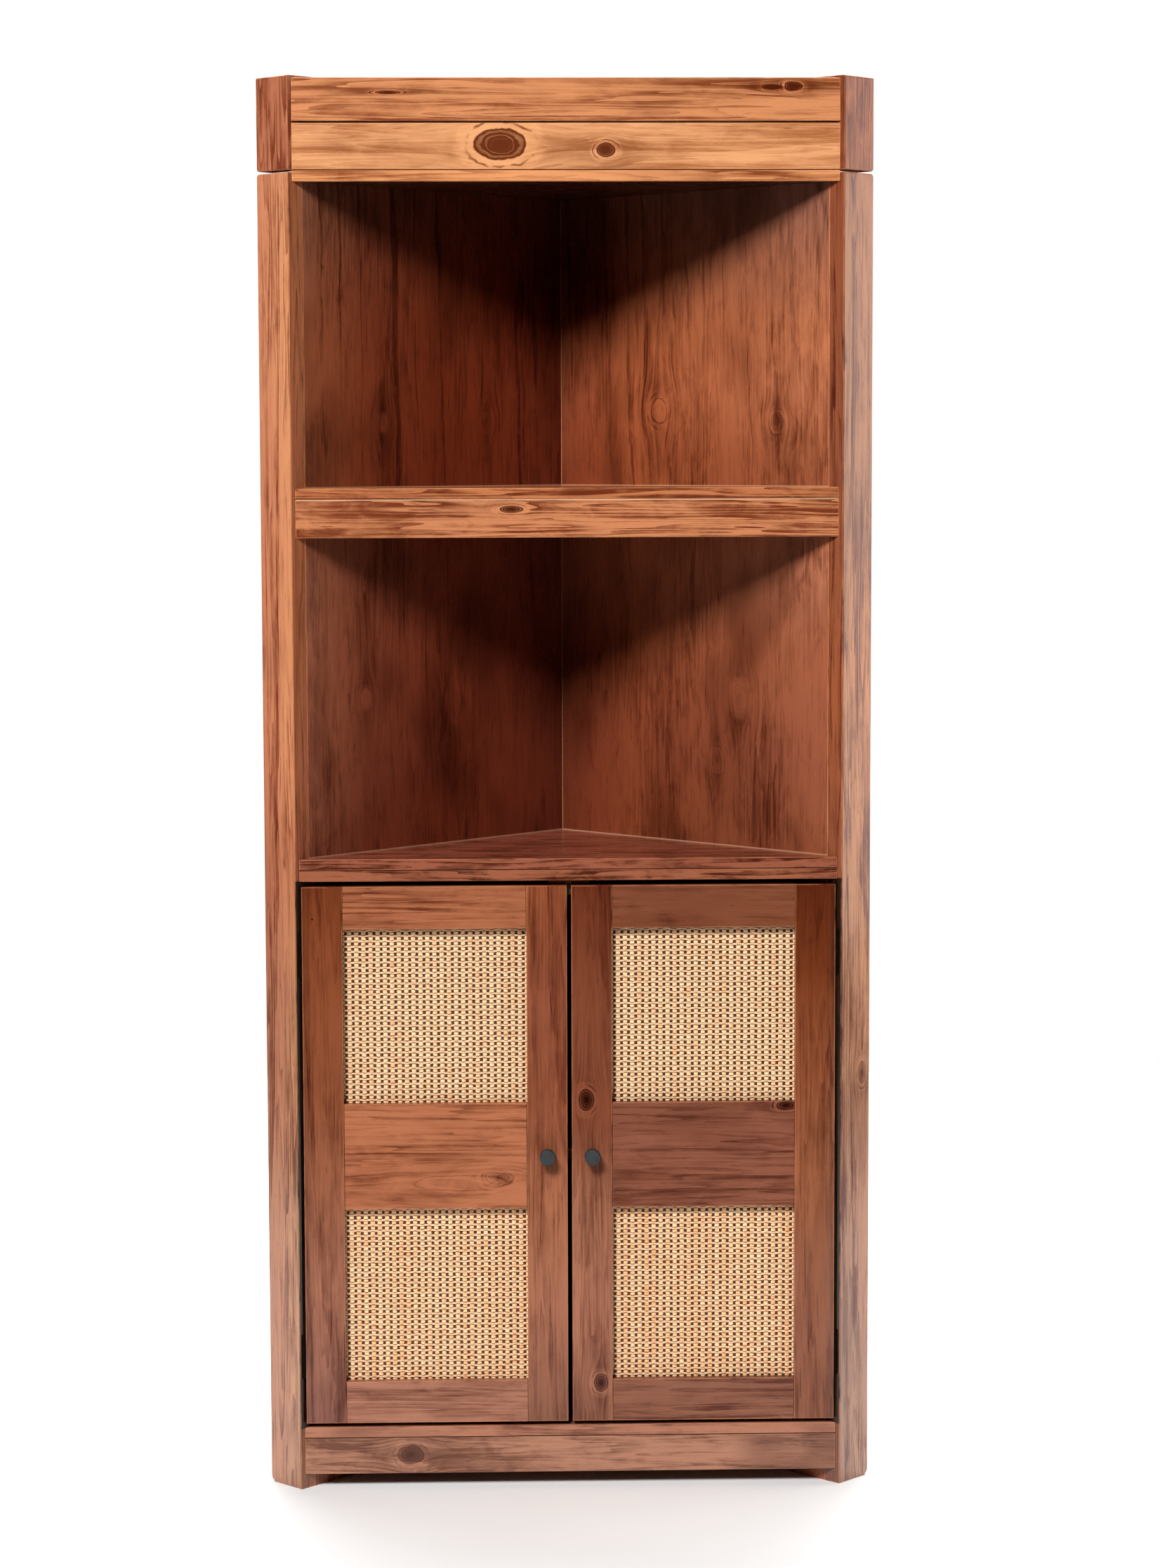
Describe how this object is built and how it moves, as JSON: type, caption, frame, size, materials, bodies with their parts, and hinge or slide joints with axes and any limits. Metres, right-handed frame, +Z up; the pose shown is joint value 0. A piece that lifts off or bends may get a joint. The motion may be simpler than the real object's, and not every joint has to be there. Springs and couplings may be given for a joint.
{
  "type": "corner cupboard",
  "caption": "Tall corner cupboard in stained softwood, with open triangular shelves above and a pair of hinged, cane-panelled doors below.",
  "frame": {"origin": "on the floor, midway across the outer box in X and in Y", "axes": "+Z up, +Y into the corner of the room, +X to the right as one faces the doors"},
  "size_m": [0.82, 0.4062, 1.9],
  "materials": {
    "carcass_wood": "satin lacquer over reddish brown stain",
    "panel_wood": "satin lacquer over reddish brown stain",
    "door_wood": "satin lacquer over reddish brown stain",
    "bead_wood": "satin lacquer over reddish brown stain",
    "cane": "woven cane, natural",
    "black_iron": "matt black",
    "dark_steel": "dark bronze",
    "bright_steel": "zinc plated",
    "catch_plastic": "matt brown",
    "magnet": "dark grey"
  },
  "bodies": {
    "carcass": {"left_post": "carcass_wood", "right_post": "carcass_wood", "left_crown_return": "carcass_wood", "right_crown_return": "carcass_wood", "left_side_panel": "panel_wood", "right_side_panel": "panel_wood", "crown_upper_board": "carcass_wood", "crown_lower_board": "carcass_wood", "roof_board": "carcass_wood", "middle_shelf_board": "carcass_wood", "middle_shelf_apron": "carcass_wood", "counter_board": "carcass_wood", "counter_edge_strip": "carcass_wood", "bottom_board": "carcass_wood", "plinth_rail": "carcass_wood", "inner_shelf": "carcass_wood", "shelf_pins": "bright_steel", "left_hinge_post_leaves": "dark_steel", "right_hinge_post_leaves": "dark_steel", "left_hinge_pins": "dark_steel", "right_hinge_pins": "dark_steel", "catch_block": "carcass_wood", "door_catch": "catch_plastic", "catch_magnets": "magnet"},
    "left_door": {"left_hinge_stile": "door_wood", "left_meeting_stile": "door_wood", "left_top_rail": "door_wood", "left_middle_rail": "door_wood", "left_bottom_rail": "door_wood", "left_upper_cane": "cane", "left_lower_cane": "cane", "left_cane_beads": "bead_wood", "left_knob": "black_iron", "left_knob_screw": "bright_steel", "left_hinge_door_leaves": "dark_steel", "left_strike_plate": "bright_steel"},
    "right_door": {"right_hinge_stile": "door_wood", "right_meeting_stile": "door_wood", "right_top_rail": "door_wood", "right_middle_rail": "door_wood", "right_bottom_rail": "door_wood", "right_upper_cane": "cane", "right_lower_cane": "cane", "right_cane_beads": "bead_wood", "right_knob": "black_iron", "right_knob_screw": "bright_steel", "right_hinge_door_leaves": "dark_steel", "right_strike_plate": "bright_steel"}
  },
  "joints": [
    {"name": "left_door_hinge", "type": "hinge", "parent": "carcass", "child": "left_door", "pos_m": [-0.36184, -0.18221, 0.459], "axis": [0, 0, -1], "range_deg": [0, 120]},
    {"name": "right_door_hinge", "type": "hinge", "parent": "carcass", "child": "right_door", "pos_m": [0.36184, -0.18221, 0.459], "axis": [0, 0, 1], "range_deg": [0, 120]}
  ]
}
